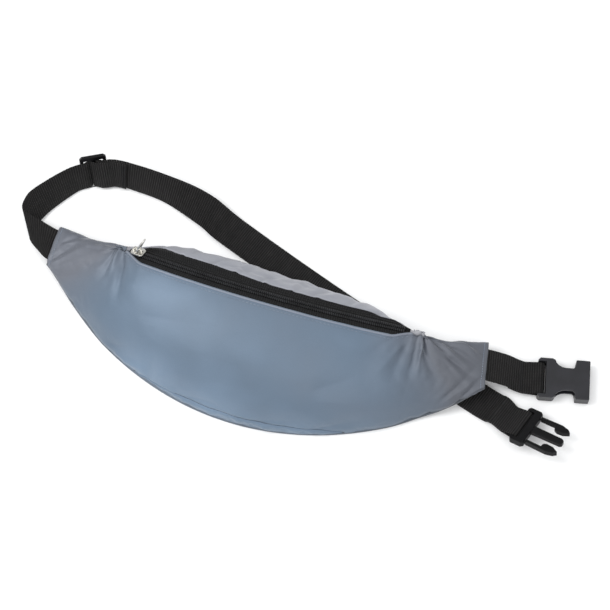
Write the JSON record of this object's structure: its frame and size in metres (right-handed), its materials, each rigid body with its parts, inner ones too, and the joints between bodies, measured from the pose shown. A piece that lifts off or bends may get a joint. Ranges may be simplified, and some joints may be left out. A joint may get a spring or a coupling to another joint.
{
  "type": "waist bag",
  "caption": "Crescent-shaped waist bag of reflective cloth with a curved zip along its top front, an adjustable webbing belt and a side-release buckle.",
  "frame": {"origin": "middle of the back panel, on the face that the bag lies on", "axes": "+X along the bag towards the buckle's socket, +Y from the lower seam towards the zip side, +Z out of the front"},
  "size_m": [0.4642, 0.1748, 0.0626],
  "materials": {
    "reflective_cloth": "satin reflective coating",
    "lining": "matte",
    "webbing": "matte ribbed",
    "zip_tape": "matte",
    "zip_coil": "satin",
    "zip_metal": "satin plated",
    "buckle_plastic": "fine matte texture",
    "thread": "matte"
  },
  "bodies": {
    "bag": {"front_panel": "reflective_cloth", "top_panel": "reflective_cloth", "bottom_gusset": "reflective_cloth", "back_panel": "lining", "seam_binding": "lining", "zip_tape_front": "zip_tape", "zip_tape_rear": "zip_tape", "zip_coil_front": "zip_coil", "zip_coil_rear": "zip_coil", "zip_stop_left": "zip_metal", "zip_stop_right": "zip_metal", "zip_end_tab_left": "reflective_cloth", "zip_end_tab_right": "reflective_cloth", "long_belt": "webbing", "short_belt": "webbing", "belt_adjuster": "buckle_plastic", "adjuster_loop_bartack": "thread", "socket_loop_bartack": "thread"},
    "zip_slider": {"zip_slider": "zip_metal"},
    "zip_pull": {"zip_pull": "zip_metal"},
    "buckle_socket": {"buckle_socket": "buckle_plastic"},
    "buckle_plug": {"buckle_plug": "buckle_plastic"},
    "plug_arm_upper": {"plug_arm_upper": "buckle_plastic"},
    "plug_arm_lower": {"plug_arm_lower": "buckle_plastic"}
  },
  "joints": [
    {"name": "zip_travel", "type": "hinge", "parent": "bag", "child": "zip_slider", "pos_m": [0, 0.22754, -0.25526], "axis": [0, 0.8321, 0.5547], "range_deg": [0, 32.4]},
    {"name": "pull_swing", "type": "hinge", "parent": "zip_slider", "child": "zip_pull", "pos_m": [-0.10431, 0.03243, 0.04504], "axis": [0.2288, 0.9142, -0.3346], "range_deg": [-60, 55]},
    {"name": "socket_swing", "type": "hinge", "parent": "bag", "child": "buckle_socket", "pos_m": [0.2146, 0.0372, 0.0051], "axis": [-0.2164, 0.9763, 0], "range_deg": [-60, 20]},
    {"name": "plug_swing", "type": "hinge", "parent": "bag", "child": "buckle_plug", "pos_m": [0.2104, -0.004, 0.0083], "axis": [0.286, 0.925, -0.2502], "range_deg": [-60, 20]},
    {"name": "upper_arm_squeeze", "type": "hinge", "parent": "buckle_plug", "child": "plug_arm_upper", "pos_m": [0.22463, 0.00487, 0.0078], "axis": [-0.1553, 0.3024, 0.9405], "range_deg": [-8, 0], "stiffness_Nm_per_rad": 0.8},
    {"name": "lower_arm_squeeze", "type": "hinge", "parent": "buckle_plug", "child": "plug_arm_lower", "pos_m": [0.21754, -0.01807, 0.014], "axis": [-0.1553, 0.3024, 0.9405], "range_deg": [0, 8], "stiffness_Nm_per_rad": 0.8}
  ]
}
